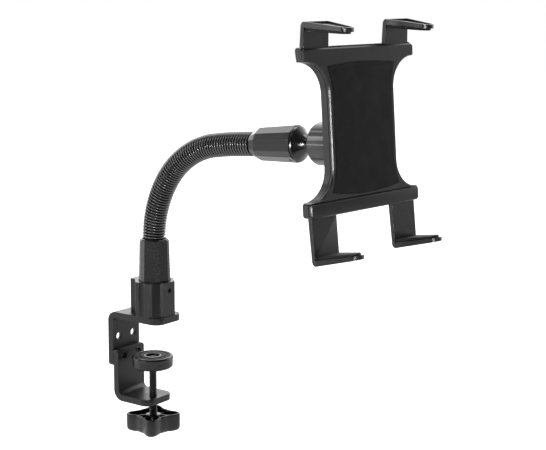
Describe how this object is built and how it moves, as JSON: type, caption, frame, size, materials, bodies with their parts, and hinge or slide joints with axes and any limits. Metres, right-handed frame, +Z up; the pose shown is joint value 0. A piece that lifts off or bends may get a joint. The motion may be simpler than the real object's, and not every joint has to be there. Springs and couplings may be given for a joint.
{
  "type": "tablet holder",
  "caption": "Clamp-on tablet holder: two-plate screw clamp, socket, gooseneck arm, ball joint and a spring-jawed holder with four L-shaped legs.",
  "frame": {"origin": "centre of the upper jaw's underside, on the axis of the clamp screw", "axes": "+Z up, away from the clamp's jaw face towards the arm; +X from the clamp's back along the arm towards the tablet; +Y completes a right-handed frame, across the clamp"},
  "size_m": [0.2841, 0.1178, 0.3418],
  "materials": {
    "powder_coat": "fine matte powder coat",
    "blackened_steel": "black oxide",
    "moulded_plastic": "moulded, light satin",
    "satin_plastic": "satin",
    "glossy_plastic": "semi-gloss",
    "glossy_metal": "gloss black",
    "dark_core": "matte",
    "wound_cover": "satin gloss",
    "shell_plastic": "fine-grained satin",
    "leg_plastic": "fine-grained satin",
    "soft_pad": "soft matte",
    "soft_rubber": "soft matte",
    "bright_steel": "zinc plated"
  },
  "bodies": {
    "bracket": {"upper_bracket": "powder_coat", "lower_bracket": "powder_coat", "bracket_screws": "blackened_steel", "base_socket": "moulded_plastic", "socket_screws": "blackened_steel", "socket_grub_screw": "blackened_steel", "lower_ferrule": "satin_plastic", "neck_core_base": "dark_core", "neck_coil_base": "wound_cover"},
    "screw_head": {"pad_bushing": "blackened_steel"},
    "pad": {"clamp_pad": "moulded_plastic", "pad_grip": "soft_rubber"},
    "screw": {"clamp_screw": "blackened_steel", "clamp_knob": "glossy_plastic", "knob_nut": "bright_steel", "pad_clip": "bright_steel"},
    "neck_low": {"neck_core_low": "dark_core", "neck_coil_low": "wound_cover"},
    "neck_mid": {"neck_core_mid": "dark_core", "neck_coil_mid": "wound_cover"},
    "neck_top": {"neck_core_top": "dark_core", "neck_coil_top": "wound_cover", "upper_ferrule": "glossy_plastic", "ferrule_grub_screw": "blackened_steel", "ball_stud": "glossy_metal"},
    "liner": {"ball_liner": "moulded_plastic"},
    "ring": {"clamp_ring": "bright_steel"},
    "holder": {"swivel_boss": "satin_plastic", "boss_screws": "bright_steel", "back_shell": "shell_plastic", "front_shell": "shell_plastic", "front_pad": "soft_pad", "shell_screws": "bright_steel", "jaw_springs": "bright_steel"},
    "nut": {"ball_nut": "satin_plastic"},
    "jaw": {"jaw_slider": "satin_plastic", "jaw_back": "shell_plastic", "jaw_front": "shell_plastic", "slider_screws": "bright_steel"},
    "leg_top_left": {"leg_top_left": "leg_plastic", "grip_top_left": "soft_rubber"},
    "leg_top_right": {"leg_top_right": "leg_plastic", "grip_top_right": "soft_rubber"},
    "leg_bottom_left": {"leg_bottom_left": "leg_plastic", "grip_bottom_left": "soft_rubber"},
    "leg_bottom_right": {"leg_bottom_right": "leg_plastic", "grip_bottom_right": "soft_rubber"}
  },
  "joints": [
    {"name": "screw_travel", "type": "slide", "parent": "bracket", "child": "screw_head", "axis": [0, 0, 1], "range_m": [-0.0213, 0.01]},
    {"name": "screw_turn", "type": "hinge", "parent": "screw_head", "child": "screw", "pos_m": [0, 0, -0.06], "axis": [0, 0, 1], "range_deg": [-6000, 2800]},
    {"name": "pad_tilt", "type": "hinge", "parent": "screw_head", "child": "pad", "pos_m": [0, 0, -0.035], "axis": [0, 1, 0], "range_deg": [-8, 8]},
    {"name": "gooseneck_bend_lower", "type": "hinge", "parent": "bracket", "child": "neck_low", "pos_m": [0.00623, 0, 0.09211], "axis": [0, 1, 0], "range_deg": [-15, 15]},
    {"name": "gooseneck_sway", "type": "hinge", "parent": "neck_low", "child": "neck_mid", "pos_m": [0.03953, 0, 0.13863], "axis": [-0.5307, 0, 0.8476], "range_deg": [-15, 15]},
    {"name": "gooseneck_bend_upper", "type": "hinge", "parent": "neck_mid", "child": "neck_top", "pos_m": [0.0753, 0, 0.14986], "axis": [0, 1, 0], "range_deg": [-15, 15]},
    {"name": "ball_yaw", "type": "hinge", "parent": "neck_top", "child": "liner", "pos_m": [0.17107, 0, 0.15631], "axis": [-0.0569, -0.0139, 0.9983], "range_deg": [-9, 27]},
    {"name": "ball_tilt", "type": "hinge", "parent": "liner", "child": "ring", "pos_m": [0.17107, 0, 0.15631], "axis": [0.1552, 0.9876, 0.0227], "range_deg": [-15.8, 15.1]},
    {"name": "holder_spin", "type": "hinge", "parent": "ring", "child": "holder", "pos_m": [0.17107, 0, 0.15631], "axis": [0.9862, -0.1562, 0.0541], "continuous": true},
    {"name": "nut_turn", "type": "hinge", "parent": "holder", "child": "nut", "pos_m": [0.17107, 0, 0.15631], "axis": [0.9862, -0.1562, 0.0541], "range_deg": [0, 60]},
    {"name": "jaw_extension", "type": "slide", "parent": "holder", "child": "jaw", "axis": [0.0569, 0.0139, -0.9983], "range_m": [0, 0.05], "stiffness_N_per_m": 150, "springref_m": -0.03, "deforming": ["jaw_springs"]},
    {"name": "leg_top_left_slide", "type": "slide", "parent": "holder", "child": "leg_top_left", "axis": [0.1552, 0.9876, 0.0227], "range_m": [0, 0.0125]},
    {"name": "leg_top_right_slide", "type": "slide", "parent": "holder", "child": "leg_top_right", "axis": [-0.1552, -0.9876, -0.0227], "range_m": [0, 0.0125]},
    {"name": "leg_bottom_left_slide", "type": "slide", "parent": "jaw", "child": "leg_bottom_left", "axis": [0.1552, 0.9876, 0.0227], "range_m": [0, 0.0125]},
    {"name": "leg_bottom_right_slide", "type": "slide", "parent": "jaw", "child": "leg_bottom_right", "axis": [-0.1552, -0.9876, -0.0227], "range_m": [0, 0.0125]}
  ],
  "couplings": [
    {"joint": "screw_travel", "follows": "screw_turn", "m_per_rad": 0.00020213}
  ]
}
